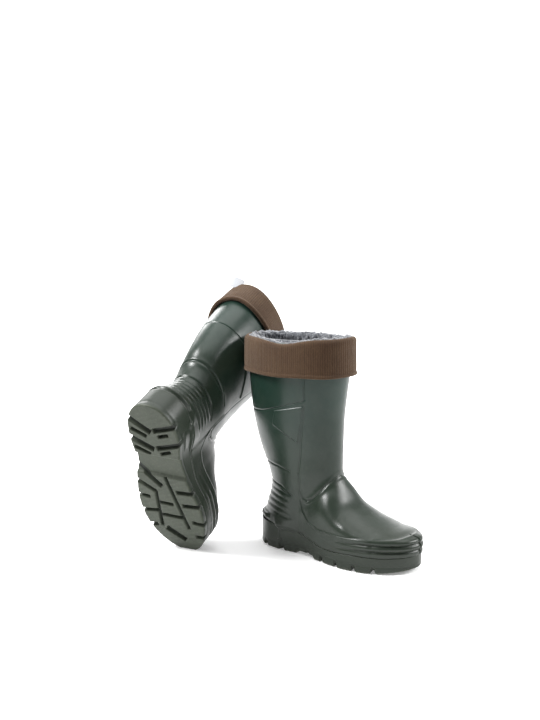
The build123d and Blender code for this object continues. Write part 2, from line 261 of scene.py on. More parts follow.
def spine(levels, swing_rows, foot_rows, toe_rows, floor):
    """Where each row of rays starts, the way its first ray points, and its lean forward."""
    rows = []
    for z in levels:
        back = curve(z, LEG_LEVELS, LEG_BACK)
        front = curve(z, LEG_LEVELS, LEG_FRONT)
        rows.append((((back + front) / 2, 0, z), (-1, 0, 0), 0))
    for angle in np.linspace(0, pi / 2, swing_rows + 1)[1:]:
        reach = SWING_REACH + SWING_BULGE * np.sin(2 * angle)
        way = (-np.cos(angle), 0, -np.sin(angle))
        rows.append(((SWING[0] + reach * way[0], 0, SWING[1] + reach * way[2]), way, 0))
    for x in np.linspace(SWING[0], TOE_ROOT, foot_rows + 1)[1:]:
        middle = (curve(x, VAMP_AT, VAMP_RIDGE) + floor) / 2
        blend = (x - SWING[0]) / (TOE_ROOT - SWING[0])
        height = FOOT_MIDDLE + (middle - FOOT_MIDDLE) * blend
        rows.append(((x, 4 * blend, height), (0, 0, -1), 0))
    end = rows[-1][0]
    for lean in np.linspace(0, pi / 2, toe_rows + 1)[1:]:
        rows.append((end, (0, 0, -1), lean))
    return rows


def cast(rows, columns, field):
    """Grid of points where the rays of each row meet the field's surface."""
    around = np.linspace(0, 2 * pi, columns + 1)
    starts, ways = [], []
    for start, first, lean in rows:
        flat = np.outer(np.cos(around), first) + np.outer(np.sin(around), (0, 1, 0))
        ways.append(np.cos(lean) * flat + np.sin(lean) * np.array([1.0, 0, 0]))
        starts.append(np.tile(start, (columns + 1, 1)))
    starts, ways = np.concatenate(starts), np.concatenate(ways)
    reach = np.full(len(starts), 5.0)
    for _ in range(CAST_STEPS):
        gap = field(starts + ways * reach[:, None])
        reach = np.clip(reach - np.clip(gap, -25, 8) * 0.85, 1, LONGEST_RAY)
    return (starts + ways * reach[:, None]).reshape(len(rows), columns + 1, 3)


def grid_spot(vert, shape):
    """The row and column of a new grid's vertex in an array of the given shape."""
    return (round((vert.co.x + 1) / 2 * (shape[0] - 1)),
            round((vert.co.y + 1) / 2 * (shape[1] - 1)))


def grid_mesh(points):
    """A bmesh tube through a grid of points, welded along its seam and at its pole."""
    rows, columns = points.shape[:2]
    mesh = bmesh.new()
    bmesh.ops.create_grid(mesh, x_segments=rows - 1, y_segments=columns - 1, size=1)
    for vert in mesh.verts:
        vert.co = points[grid_spot(vert, points.shape)]
    bmesh.ops.remove_doubles(mesh, verts=mesh.verts, dist=0.01)
    return mesh


def positions(mesh):
    """The bmesh's points as an array."""
    return np.array([vert.co for vert in mesh.verts])


def move_to(mesh, points):
    """Moves the bmesh's points to the places in an array."""
    for vert, place in zip(mesh.verts, points):
        vert.co = place


def take_in(mesh, other):
    """Adds the faces of another bmesh, which is used up."""
    between = bpy.data.meshes.new("between")
    other.to_mesh(between)
    other.free()
    mesh.from_mesh(between)
    bpy.data.meshes.remove(between)


rim_ring = cast(spine([RIM], 0, 0, 0, 0), 4, boot_gap)[0]
print("rim", np.ptp(rim_ring, axis=0)[:2].round(1), "mm across")


# %% [markdown]
# ## What is moulded into the surface
# The mould cuts seam lines and a raised panel into the leg, ribs that let the ankle flex,
# a deep crease where the instep bends, a step round the rand and bumper ribs round the
# toe. Each is a height above the plain surface, found from the point's side view.

# %% Moulded relief
SIDE_SEAM = [(131, 340), (130, 284), (127, 281), (75, 266), (40, 257), (-40, 250)]
PANEL = [(128, 273), (70, 261), (62, 235), (113, 206)]
SHIN_EDGE = [(128, 272), (119, 210), (113, 160), (112, 122), (117, 106), (130, 102)]
CREASE = [(126, 101), (138, 108), (152, 124), (170, 149)]
CALF_LINE = [(-40, 161), (37, 161), (66, 158), (92, 152)]
RIB_LINE = [(-40, 127), (40, 126), (70, 121), (92, 107)]
RAND_EDGE = [(111, 150), (111, 104), (117, 82), (133, 65), (155, 58), (218, 57), (290, 60),
             (330, 62)]
# The lines cut into the shell, each with its depth and half its width.
CUTS = [(SIDE_SEAM, 1.3, 1.1), (SHIN_EDGE, 0.9, 1.4), (CREASE, 1.2, 1.7),
        (CALF_LINE, 1.1, 1.5), (RIB_LINE, 1.8, 1.9)]
PANEL_LIFT, PANEL_EDGE = 1.8, 1.8
LIP_SIDE = 4.0  # a cut's raised lip is this far to its side
BUMPER_LEVELS = (47.0, 36.0)
BUMPER_LIFT = 4.0
RIB_TOP, RIB_LOW, RIB_STEP = 121.0, 70.0, 11.0
RIB_BEND = 0.0028
BACK_END = 96.0
RAND_START = 110.0
TOE_SEAM_START, TOE_SEAM_TOP, TOE_SEAM_DEPTH = 300.0, 62.0, 1.3
SPUR_LOW, SPUR_HIGH, SPUR_END, SPUR_REACH = 53.5, 63.0, 44.0, 4.6
HEEL_BLOCK_TOP, HEEL_BLOCK_END, HEEL_BLOCK_LIFT = 64.0, 104.0, 0.6


def smooth_step(value):
    """0 below 0 and 1 above 1, with an easy rise between."""
    t = np.clip(value, 0, 1)
    return t * t * (3 - 2 * t)


def path_gap(x, z, path):
    """Distance in the side view from a line through the path's corners."""
    best = np.full(len(x), 1e9)
    for (ax, az), (bx, bz) in zip(path, path[1:]):
        dx, dz = bx - ax, bz - az
        t = np.clip(((x - ax) * dx + (z - az) * dz) / (dx * dx + dz * dz), 0, 1)
        best = np.minimum(best, np.hypot(x - ax - t * dx, z - az - t * dz))
    return best


def inside_gap(x, z, corners):
    """How far side-view points lie inside a convex outline."""
    best = np.full(len(x), 1e9)
    middle = np.mean(corners, 0)
    for (ax, az), (bx, bz) in zip(corners, corners[1:] + corners[:1]):
        normal = np.array([az - bz, bx - ax]) / np.hypot(bx - ax, bz - az)
        if normal @ (middle - np.array([ax, az])) < 0:
            normal = -normal
        best = np.minimum(best, (x - ax) * normal[0] + (z - az) * normal[1])
    return best


def groove(gap, width):
    """1 in the middle of a line and 0 away from it."""
    return np.exp(-((gap / width) ** 2))


def leg_relief(x, z):
    """Seams, panel, crease and flexing ribs of the leg."""
    back = smooth_step((BACK_END - x) / 22)
    height = PANEL_LIFT * smooth_step(inside_gap(x, z, PANEL) / PANEL_EDGE)
    for path, depth, width in CUTS:
        height -= depth * groove(path_gap(x, z, path), width)
    crease_lip = groove(path_gap(x, z, CREASE) - LIP_SIDE, 3.0)
    height += 0.5 * crease_lip * (x > 120) * (z > 96)
    calf_lip = groove(path_gap(x, z, CALF_LINE) - LIP_SIDE, 2.5)
    height += 0.6 * calf_lip * (z > 155) * back
    bent = z + RIB_BEND * np.maximum(x - 30, 0) ** 2
    in_ribs = smooth_step((RIB_TOP - bent) / 4) * smooth_step((bent - RIB_LOW + 3) / 4)
    wave = np.abs(np.cos(pi * (bent - RIB_TOP) / RIB_STEP)) ** 0.7
    return height + (1.9 * wave - 1.0) * in_ribs * back


def toe_relief(x, y, z):
    """The rand's step, the bumper ribs and the seam over the toe."""
    rand_level = np.interp(x, *zip(*RAND_EDGE[1:]))
    height = smooth_step((rand_level - z + 0.8) / 1.6) * smooth_step((x - RAND_START) / 3)
    height += 0.7 * groove(path_gap(x, z, RAND_EDGE), 1.6)
    toward_toe = smooth_step((x - 170) / 120)
    at_toe = smooth_step((x - 150) / 20)
    for level in BUMPER_LEVELS:
        off = z - level - BUMPER_LIFT * toward_toe
        height -= (0.35 + 2.1 * toward_toe) * groove(off, 1.9) * at_toe
        height += 1.1 * toward_toe * groove(off - 5.3, 3.2) * at_toe
    tip_end = smooth_step((x - TOE_SEAM_START) / 8)
    height -= TOE_SEAM_DEPTH * groove(y - TOE_Y, 1.3) * tip_end * (z < TOE_SEAM_TOP)
    past_seam = smooth_step((y - TOE_Y - 0.5) / 1.2) * smooth_step((TOE_Y + 26 - y) / 18)
    return height + 1.5 * past_seam * tip_end * smooth_step((TOE_SEAM_TOP - z) / 3)


def heel_relief(x, z):
    """The spur at the back of the heel, the groove over it and the block under it."""
    behind = smooth_step((SPUR_END - x) / 14)
    spur = smooth_step((z - SPUR_LOW) / 2) * smooth_step((SPUR_HIGH - z) / 2.5) * behind
    height = SPUR_REACH * spur - 1.2 * groove(z - SPUR_HIGH - 3, 2.5) * behind
    block = smooth_step((HEEL_BLOCK_TOP - z) / 2) * smooth_step((HEEL_BLOCK_END - x) / 14)
    return height + HEEL_BLOCK_LIFT * block


def relief(p):
    """Height of the moulded detail over the plain surface."""
    x, y, z = p.T
    height = leg_relief(x, z) + toe_relief(x, y, z) + heel_relief(x, z)
    shut = smooth_step((curve(x, PARTING_AT, PARTING) + 1.6 - z) / 2.2)
    return height * (1 - shut) - 0.7 * shut


def fine_lines(p):
    """How near a point is to detail that needs small faces: 0 far, 1 near, 2 on it."""
    x, y, z = p.T
    near = path_gap(x, z, SIDE_SEAM) - 1
    for path in (SHIN_EDGE, CREASE, CALF_LINE, RIB_LINE, RAND_EDGE):
        near = np.minimum(near, path_gap(x, z, path) - 2)
    near = np.minimum(near, np.abs(inside_gap(x, z, PANEL) - 0.8))
    for level in BUMPER_LEVELS:
        near = np.minimum(near, np.abs(z - level - 2) + np.where(x > 200, -2.5, 9))
    near = np.minimum(near, np.abs(y - TOE_Y) + np.where((x > 290) & (z < 70), -1, 9))
    near = np.minimum(near, np.abs(z - 59) + np.where(x < 46, -4, 9))
    near = np.minimum(near, np.abs(z - curve(x, PARTING_AT, PARTING)) - 1)
    ribs = (x < 98) & (z > 48) & (z < 130)
    return np.where(near < 2.2, 2, np.where((near < 4) | ribs, 1, 0))

# %% [markdown]
# ## The shell
# The tube is cast at about three millimetres, then only the faces near a seam or a rib are
# cut finer, because fine faces everywhere would cost a million triangles. Every new point
# is pulled back to the field before the relief is added, so the flats between the lines
# stay truly smooth. A plainer tube cast inside closes the wall at the rim.

# %% Casting and refining the shell
LEG_WALL = 5.0
CUP_FLOOR = 17.5
SHELL_FLOOR = 22.0
HEEL_RISE = 12.0
COLUMNS = 128
LEG_ROWS = 60
FINE = 2
LEG_FOOT = 180.0  # the level where the leg's rays give way to the swinging ones
SOLE_TUCK = 2.2


def outside_gap(p):
    """The shell's outside, with its foot drawn in where the outsole cups it."""
    x, z = p[:, 0], p[:, 2]
    tucked = SOLE_TUCK * smooth_step((curve(x, PARTING_AT, PARTING) - 3 - z) / 4)
    return np.maximum(boot_gap(p) + tucked, CUP_FLOOR - z)


def floor_level(x):
    """Level of the shell's floor, which falls from the heel to the ball."""
    return SHELL_FLOOR + np.interp(x, [95, 170], [HEEL_RISE, 0])


def layer_gap(inset, above_floor):
    """A field for the boot's form drawn in by inset and standing above the floor."""
    def field(p):
        return np.maximum(boot_gap(p, inset), floor_level(p[:, 0]) + above_floor - p[:, 2])
    return field


def refine(mesh):
    """Cuts the faces near fine detail in half, twice, and pulls them onto the field."""
    for wanted in range(1, FINE + 1):
        centres = np.array([face.calc_center_median() for face in mesh.faces])
        detail = fine_lines(centres)
        edges = set()
        for face, level in zip(mesh.faces, detail):
            if level >= wanted:
                edges.update(face.edges)
        bmesh.ops.subdivide_edges(mesh, edges=list(edges), cuts=1, use_grid_fill=True)
    p = positions(mesh)
    for _ in range(3):
        slope = slope_of(outside_gap, p)
        p -= slope * (outside_gap(p) / (slope**2).sum(1).clip(0.2))[:, None]
    return p


def shell_mesh():
    """The closed wall of the shell, in millimetres."""
    rows = spine(np.linspace(RIM, LEG_FOOT, LEG_ROWS), COLUMNS * 6 // 10, 20, 20, CUP_FLOOR)
    mesh = grid_mesh(cast(rows, COLUMNS, outside_gap))
    p = refine(mesh)
    above_cup = smooth_step((p[:, 2] - CUP_FLOOR - 3) / 4)
    move_to(mesh, p + straight_out(outside_gap, p) * (relief(p) * above_cup)[:, None])
    inner_rows = spine(np.linspace(RIM, LEG_FOOT, 14), 24, 6, 6, SHELL_FLOOR + 2)
    take_in(mesh, grid_mesh(cast(inner_rows, COLUMNS, layer_gap(LEG_WALL, 0))))
    bmesh.ops.bridge_loops(mesh, edges=[edge for edge in mesh.edges if edge.is_boundary])
    bmesh.ops.recalc_face_normals(mesh, faces=mesh.faces)
    print("shell", len(mesh.verts), "points, open edges",
          sum(edge.is_boundary for edge in mesh.edges))
    return mesh


# %% [markdown]
# ## Turning a drawing into pieces
# Every drawing is made once and used twice. The left copy is mirrored, so its faces are
# turned the right way out again. Each point also keeps its place on the drawn boot, so that
# colours and grain follow the boot rather than the room when it leans.

# %% A piece from a drawing
def make_piece(name, mesh, side, material, body, nodes):
    """Places a copy of the drawing as one boot's piece, standing for its CAD nodes."""
    data = bpy.data.meshes.new(name)
    mesh.to_mesh(data)
    drawn = data.attributes.new("drawn", "FLOAT_VECTOR", "POINT")
    points = np.empty(len(data.vertices) * 3)
    data.vertices.foreach_get("co", points)
    drawn.data.foreach_set("vector", points * 0.001)
    data.transform(PLACES[side])
    if side == "left":
        data.flip_normals()
    data.materials.append(material)
    data.polygons.foreach_set("use_smooth", [True] * len(data.polygons))
    piece = bpy.data.objects.new(name, data)
    bpy.context.scene.collection.objects.link(piece)
    if nodes:
        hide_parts(*nodes)
    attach(piece, body)
    return piece


# %% [markdown]
# ## Helpers for the materials
# A material is a tree of small nodes. Joining them by hand takes three lines each, so a
# short class adds a node and joins it in one call.

# %% Helpers for node materials
COLOUR_A, COLOUR_B, COLOUR_OUT = 6, 7, 2  # the Mix node's colour sockets


class Finish:
    """A material and short calls to add and join its nodes."""

    def __init__(self, name, roughness, specular=0.5):
        self.made = bpy.data.materials.new(name)
        self.made.use_nodes = True
        self.tree = self.made.node_tree
        self.shader = self.tree.nodes["Principled BSDF"]
        self.shader.inputs["Roughness"].default_value = roughness
        self.shader.inputs["Specular IOR Level"].default_value = specular

    def node(self, kind, **values):
        """Adds a node, setting its inputs by name and its properties by lower-case name."""
        made = self.tree.nodes.new("ShaderNode" + kind)
        for key, value in values.items():
            if key[0].islower():
                setattr(made, key, value)
            else:
                self.plug(value, made.inputs[key.replace("_", " ")])
        return made

    def plug(self, value, socket):
        """Joins an output to a socket, or sets the socket to a constant."""
        if isinstance(value, bpy.types.NodeSocket):
            self.tree.links.new(value, socket)
        else:
            socket.default_value = value

    def noise(self, where, scale, detail=3.0, roughness=0.55):
        """A noise texture's value."""
        made = self.node("TexNoise", Vector=where, Scale=scale, Detail=detail, Roughness=roughness)
        return made.outputs["Fac"]

    def ramp(self, value, low, high, start=0.0, end=1.0):
        """A value moved from one range to another, held at its ends."""
        made = self.node("MapRange", Value=value)
        made.inputs["From Min"].default_value = low
        made.inputs["From Max"].default_value = high
        made.inputs["To Min"].default_value = start
        made.inputs["To Max"].default_value = end
        return made.outputs["Result"]

    def mixed(self, share, first, second):
        """Two colours mixed by a share."""
        made = self.node("Mix", data_type="RGBA")
        self.plug(share, made.inputs[0])
        self.plug(first, made.inputs[COLOUR_A])
        self.plug(second, made.inputs[COLOUR_B])
        return made.outputs[COLOUR_OUT]

    def maths(self, kind, first, second=0.0):
        """One arithmetic step."""
        made = self.node("Math", operation=kind)
        self.plug(first, made.inputs[0])
        self.plug(second, made.inputs[1])
        return made.outputs[0]

    def bump(self, height, distance, strength=1.0):
        """Lays a height over the surface's normal."""
        made = self.node("Bump", Height=height, Distance=distance, Strength=strength)
        self.plug(made.outputs["Normal"], self.shader.inputs["Normal"])

    def colour(self, value):
        """Sets the base colour."""
        self.plug(value, self.shader.inputs["Base Color"])

    def drawn(self):
        """The point's place on the drawn boot, in metres."""
        return self.node("Attribute", attribute_name="drawn").outputs["Vector"]

    def place(self):
        """The point's place on the object."""
        return self.node("TexCoord").outputs["Object"]


# %% [markdown]
# ## Foam of the shell
# Moulded foam is dark, satin and slightly uneven. Its colour drifts from a blue green at
# the top to an olive at the foot, and where the skin is thin it scuffs paler. Noise at two
# scales carries the drift and the pores, and slower noise varies the roughness.

# %% Moulded foam of the shell
def shell_foam():
    """Satin foam skin, blue green above and olive below."""
    f = Finish("moulded_foam", 0.36, 0.32)
    where = f.drawn()
    height = f.node("SeparateXYZ", Vector=where).outputs["Z"]
    drift = f.noise(where, 9, 2)
    up = f.ramp(f.maths("ADD", height, f.ramp(drift, 0.3, 0.7, -0.04, 0.04)), 0.05, 0.33)
    green = f.mixed(up, (0.0115, 0.0165, 0.0105, 1), (0.0065, 0.020, 0.0145, 1))
    mottle = f.ramp(f.noise(where, 60, 4), 0.35, 0.7)
    worn = f.mixed(f.maths("MULTIPLY", mottle, 0.2), green, (0.026, 0.036, 0.028, 1))
    f.colour(worn)
    f.plug(f.ramp(f.noise(where, 35, 3), 0.3, 0.75, 0.28, 0.40), f.shader.inputs["Roughness"])
    grain = f.noise(where, 1400, 2)
    dents = f.noise(where, 120, 2)
    f.bump(f.maths("ADD", grain, f.maths("MULTIPLY", dents, 2.0)), 0.00012, 0.35)
    return f.made


# %% [markdown]
# ## Rubber of the tread
# The outsole's side wall is as dark as the shell, while its tread is rubbed matt and greyish. The
# outsole's points say how much of each they are, and how deep in a groove, so that shade is
# painted near black into the grooves.

# %% Tread rubber of the outsole
def sole_rubber():
    """The shell's foam on the sides, rubbed matt and olive on the tread, with shade painted dark
    into the grooves.
    """
    f = Finish("tread_rubber", 0.5, 0.3)
    where = f.drawn()
    under = f.node("Attribute", attribute_name="tread").outputs["Fac"]
    groove_shade = f.node("Attribute", attribute_name="groove_shade").outputs["Fac"]
    drift = f.ramp(f.noise(where, 14, 3), 0.3, 0.7)
    wall = f.mixed(drift, (0.0115, 0.0165, 0.0105, 1), (0.014, 0.020, 0.013, 1))
    olive = f.mixed(drift, (0.025, 0.032, 0.020, 1), (0.038, 0.045, 0.031, 1))
    scuffs = f.ramp(f.noise(where, 190, 5, 0.7), 0.5, 0.75, 0, 0.35)
    worn = f.mixed(scuffs, olive, (0.080, 0.090, 0.064, 1))
    # painted shade: the tread darkens towards near black with the depth of its grooves
    face = f.mixed(f.maths("MULTIPLY", groove_shade, 0.9), worn, (0.005, 0.008, 0.005, 1))
    f.colour(f.mixed(under, wall, face))
    f.plug(f.ramp(under, 0, 1, 0.38, 0.55), f.shader.inputs["Roughness"])
    f.bump(f.noise(where, 900, 3), 0.0002, 0.4)
    return f.made


# %% [markdown]
# ## Cloth finishes
# The collar is a rib knit. Its ribs and folds are real geometry, so the material adds the
# stitches, which follow a map that counts them round and down, a soft sheen of fibre, and shade
# painted dark into the valleys between the ribs.

# %% Rib knit of the collar
STITCHES_ROUND = 320


def rib_knit():
    """Brown wool with a vee of yarn in each stitch, and painted shade in its rib valleys."""
    f = Finish("rib_knit", 0.85, 0.2)
    f.shader.inputs["Sheen Weight"].default_value = 0.22
    f.shader.inputs["Sheen Roughness"].default_value = 0.5
    f.shader.inputs["Sheen Tint"].default_value = (0.75, 0.62, 0.5, 1)
    knit = f.node("UVMap", uv_map="stitches").outputs["UV"]
    parts = f.node("SeparateXYZ", Vector=knit)
    across = f.maths("PINGPONG", parts.outputs["X"], 0.5)
    down = f.maths("ADD", parts.outputs["Y"], f.maths("MULTIPLY", across, 1.2))
    loop = f.maths("PINGPONG", down, 0.5)
    yarn = f.maths("ADD", loop, across)
    depth = f.node("Attribute", attribute_name="rib").outputs["Fac"]
    where = f.drawn()
    drift = f.ramp(f.noise(where, 26, 4), 0.3, 0.7)
    base = f.mixed(drift, (0.032, 0.015, 0.0065, 1), (0.050, 0.027, 0.012, 1))
    # painted shade: the colour darkens towards the bottom of each rib valley
    rib_valley_shade = f.mixed(f.ramp(depth, 0.2, 1, 0, 0.75), base, (0.008, 0.004, 0.002, 1))
    fleck = f.ramp(f.noise(where, 900, 3), 0.45, 0.7, 0, 0.5)
    f.colour(f.mixed(fleck, rib_valley_shade, (0.075, 0.040, 0.021, 1)))
    fuzz = f.noise(where, 2200, 3)
    f.bump(f.maths("ADD", yarn, f.maths("MULTIPLY", fuzz, 0.7)), 0.0005, 0.7)
    return f.made


# %% [markdown]
# ## Pile, felt, footbed foam and tape
# The pile is curly, so its material is cells and coarse noise over a lumpy mesh, with shade
# painted dark between the curls. The felt is fine tangled noise with almost no shine, the footbed
# shows its foam's cells, and the tag's tape shows its threads, painted grey as shade and darker
# between them.

# %% Pile and felt of the liner
def deep_pile():
    """Blue-grey curly pile, with shade painted dark between the curls."""
    f = Finish("deep_pile", 0.95, 0.1)
    f.shader.inputs["Sheen Weight"].default_value = 0.6
    f.shader.inputs["Sheen Roughness"].default_value = 0.6
    where = f.drawn()
    curls = f.node("TexVoronoi", Vector=where, Scale=330.0)
    curls.feature = "SMOOTH_F1"
    clumps = f.noise(where, 90, 5, 0.65)
    base = f.mixed(f.ramp(clumps, 0.3, 0.7), (0.022, 0.026, 0.035, 1), (0.10, 0.108, 0.125, 1))
    # painted shade: the pile darkens away from each curl's middle, in the gaps between curls
    curl_gap_shade = f.ramp(curls.outputs["Distance"], 0.2, 0.8, 0, 0.55)
    f.colour(f.mixed(curl_gap_shade, base, (0.025, 0.028, 0.036, 1)))
    fuzz = f.noise(where, 700, 5, 0.7)
    f.bump(f.maths("SUBTRACT", fuzz, curls.outputs["Distance"]), 0.0015, 0.9)
    return f.made


def grey_felt():
    """Pressed felt: short tangled fibres, almost no shine."""
    f = Finish("pressed_felt", 0.95, 0.1)
    f.shader.inputs["Sheen Weight"].default_value = 0.3
    where = f.drawn()
    fibres = f.noise(where, 1100, 6, 0.7)
    clouds = f.ramp(f.noise(where, 40, 3), 0.3, 0.7)
    base = f.mixed(clouds, (0.075, 0.076, 0.080, 1), (0.11, 0.11, 0.114, 1))
    f.colour(f.mixed(f.ramp(fibres, 0.4, 0.7), base, (0.17, 0.17, 0.176, 1)))
    f.bump(fibres, 0.0008, 0.6)
    return f.made


def footbed_foam():
    """Dark closed-cell foam with a pressed grid of cells."""
    f = Finish("footbed_foam", 0.8, 0.25)
    where = f.place()
    cells = f.node("TexVoronoi", Vector=where, Scale=420.0)
    base = f.mixed(f.noise(where, 50, 3), (0.03, 0.03, 0.032, 1), (0.07, 0.07, 0.074, 1))
    f.colour(base)
    f.bump(cells.outputs["Distance"], 0.0006, 0.5)
    return f.made


def woven_tape():
    """White polyester tape, plain woven and blank, coloured grey as painted shade and darker
    between its threads.
    """
    f = Finish("woven_tape", 0.6, 0.4)
    weave = f.node("UVMap", uv_map="stitches").outputs["UV"]
    parts = f.node("SeparateXYZ", Vector=weave)
    warp = f.maths("PINGPONG", parts.outputs["X"], 0.5)
    weft = f.maths("PINGPONG", parts.outputs["Y"], 0.5)
    thread = f.maths("ADD", warp, weft)
    # painted shade: the white tape is greyed all over, and darker still between its threads
    f.colour(f.mixed(thread, (0.24, 0.25, 0.27, 1), (0.40, 0.41, 0.43, 1)))
    f.bump(thread, 0.00015, 0.6)
    return f.made


FOAM = shell_foam()
RUBBER = sole_rubber()
KNIT = rib_knit()
PILE = deep_pile()
FELT = grey_felt()
FOOTBED = footbed_foam()
TAPE = woven_tape()
print("finishes", [made.name for made in bpy.data.materials])

# %% [markdown]
# ## The two shells
# The same drawing serves both feet. Each shell rides on its boot's body, so that when the
# left boot is tipped down to the floor, its skin goes with it.

# %% Placing the shells
drawing = shell_mesh()
for side in PLACES:
    make_piece(f"{side}_shell_skin", drawing, side, FOAM, f"{side}_boot",
               [f"{side}_shell"])
drawing.free()

# %% [markdown]
# ## Tubes of felt and pile
# The liner is two layers that follow the boot's inside. Each layer is an outer and an
# inner tube, joined by bands of faces at its open ends. The pile gets its lumps by moving
# each point along the surface's slope, by a sum of waves that never repeats within a boot.

# %% Drawing the liner's layers
FELT_OUT, FELT_IN, PILE_IN = 5.8, 9.3, 13.8
SPLIT_LEVEL = 150.0  # where the liner's foot is sewn to its leg
PLAIN_STEP, LUMPY_STEP = 6, 3
FELT_TOP, PILE_TOP = 379.0, 382.5
SOLE_LOW, SOLE_HIGH, PILE_LOW = 5.5, 9.0, 13.5
ROUND = 170
rng = np.random.default_rng(7)


def lumps(p, size, waves=14):
    """A smooth random height of about -1 to 1, with lumps of the given size."""
    total = np.zeros(len(p))
    for _ in range(waves):
        way = rng.normal(size=3)
        way *= 2 * pi / (size * rng.uniform(0.7, 1.5) * np.linalg.norm(way))
        total += np.sin(p @ way + rng.uniform(0, 2 * pi))
    return total / np.sqrt(waves / 2)


def tube(inset, above_floor, step, top, foot):
    """One face of a layer: the leg down to the split, or the foot below it."""
    field = layer_gap(inset, above_floor)
    if foot:
        scale = PLAIN_STEP / step
        rows = spine([LEG_FOOT], int(24 * scale), int(9 * scale), int(9 * scale), SHELL_FLOOR)
    else:
        levels = np.linspace(top, SPLIT_LEVEL, int((top - SPLIT_LEVEL) / step) + 1)
        rows = spine(levels, 0, 0, 0, SHELL_FLOOR)
    mesh = grid_mesh(cast(rows, ROUND, field))
    if foot:
        cut = mesh.verts[:] + mesh.edges[:] + mesh.faces[:]
        bmesh.ops.bisect_plane(mesh, geom=cut, plane_co=(0, 0, SPLIT_LEVEL),
                               plane_no=(0, 0, 1), clear_outer=True)
    return mesh, field


def layer_mesh(outer, inner, step, top, foot, lump):
    """A closed layer between two insets, each given with its height above the floor."""
    mesh, _ = tube(outer[0], outer[1], PLAIN_STEP, top, foot)
    face, field = tube(inner[0], inner[1], step, top, foot)
    p = positions(face)
    rise = lump * (lumps(p, 7) + 0.6 * lumps(p, 3.5)) + 0.3 * lump
    move_to(face, p - straight_out(field, p) * rise[:, None])
    take_in(mesh, face)
    rims = [edge for edge in mesh.edges if edge.is_boundary]
    upper = [edge for edge in rims if edge.verts[0].co.z > 250]
    lower = [edge for edge in rims if edge.verts[0].co.z < 250]
    for ends in (lower, upper):
        if ends:
            bmesh.ops.bridge_loops(mesh, edges=ends)
    bmesh.ops.recalc_face_normals(mesh, faces=mesh.faces)
    return mesh


def place_pair(name, mesh, material, slot, part, *nodes):
    """Puts a drawing in both boots, on the body called by part, and returns the pieces."""
    pair = []
    for side in PLACES:
        stands_for = [f"{side}_{node}" for node in nodes]
        pair.append(make_piece(f"{side}_{name}", mesh, side, material,
                               f"{side}_{part}", stands_for))
    mesh.free()
    return pair


LUMP = 0.8
layers = {
    "felt_leg": ((FELT_OUT, 0), (FELT_IN, 0), PLAIN_STEP, FELT_TOP, False, 0.0, "liner_leg"),
    "felt_foot": ((FELT_OUT, SOLE_HIGH), (FELT_IN, SOLE_HIGH + 1), PLAIN_STEP, 0, True, 0.0,
                  "liner_foot"),
    "pile_lining_leg": ((FELT_IN, 0), (PILE_IN, 0), LUMPY_STEP, PILE_TOP, False, LUMP,
                        "pile_leg"),
    "pile_lining_foot": ((FELT_IN, SOLE_HIGH), (PILE_IN, PILE_LOW), LUMPY_STEP, 0, True, LUMP,
                         "pile_foot"),
}
for name, (outer, inner, step, top, foot, lump, node) in layers.items():
    drawing = layer_mesh(outer, inner, step, top, foot, lump)
    print(name, len(drawing.faces), "faces")
    cloth = "felt" if name.startswith("felt") else "pile"
    finish = FELT if cloth == "felt" else PILE
    for piece in place_pair(name, drawing, finish, cloth, "liner", node):
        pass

# %% [markdown]
# ## The felt under the foot
# A liner's sole is a plate of felt, cut to the foot's plan. The plan's field gives the
# edge: a fine disc is pulled in until it meets it, and then given its thickness.

# %% Felt soles
PLATE_MIDDLE = 130.0
SOLE_INSET = 11.0


def plate_mesh(inset, low, high):
    """A plate that follows the shell's floor between two heights above it."""
    mesh = bmesh.new()
    bmesh.ops.create_circle(mesh, cap_ends=True, cap_tris=True, segments=120, radius=1)
    for vert in mesh.verts:
        way = vert.co.xy
        if way.length < 0.5:
            vert.co = (PLATE_MIDDLE, 0, 0)
            continue
        reach = 2.0
        for _ in range(40):
            spot = np.array([[PLATE_MIDDLE + way.x * reach, way.y * reach]])
            gap = sole_gap(spot[:, 0], spot[:, 1])[0] + inset
            reach -= gap * 0.8
        vert.co = (PLATE_MIDDLE + way.x * reach, way.y * reach, 0)
    for _ in range(2):
        bmesh.ops.subdivide_edges(mesh, edges=mesh.edges, cuts=1, use_grid_fill=True)
    for vert in mesh.verts:
        vert.co.z = floor_level(vert.co.x) + low
    made = bmesh.ops.extrude_face_region(mesh, geom=mesh.faces[:])
    for vert in [part for part in made["geom"] if isinstance(part, bmesh.types.BMVert)]:
        vert.co.z += high - low
    bmesh.ops.recalc_face_normals(mesh, faces=mesh.faces)
    return mesh


for piece in place_pair("felt_sole", plate_mesh(SOLE_INSET, SOLE_LOW, SOLE_HIGH), FELT,
                        "felt", "liner", "liner_sole"):
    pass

# %% [markdown]
# ## The ribbed collar
# The collar is the top of the liner, turned down over the shell. It is drawn as a closed
# profile that is swept round the rim's ellipse: up the outside, over the fold and back down
# against the shell. The ribs are real, so they show on the fold's outline, and the fold and
# the lower edge wander a little, as knitted cloth does.

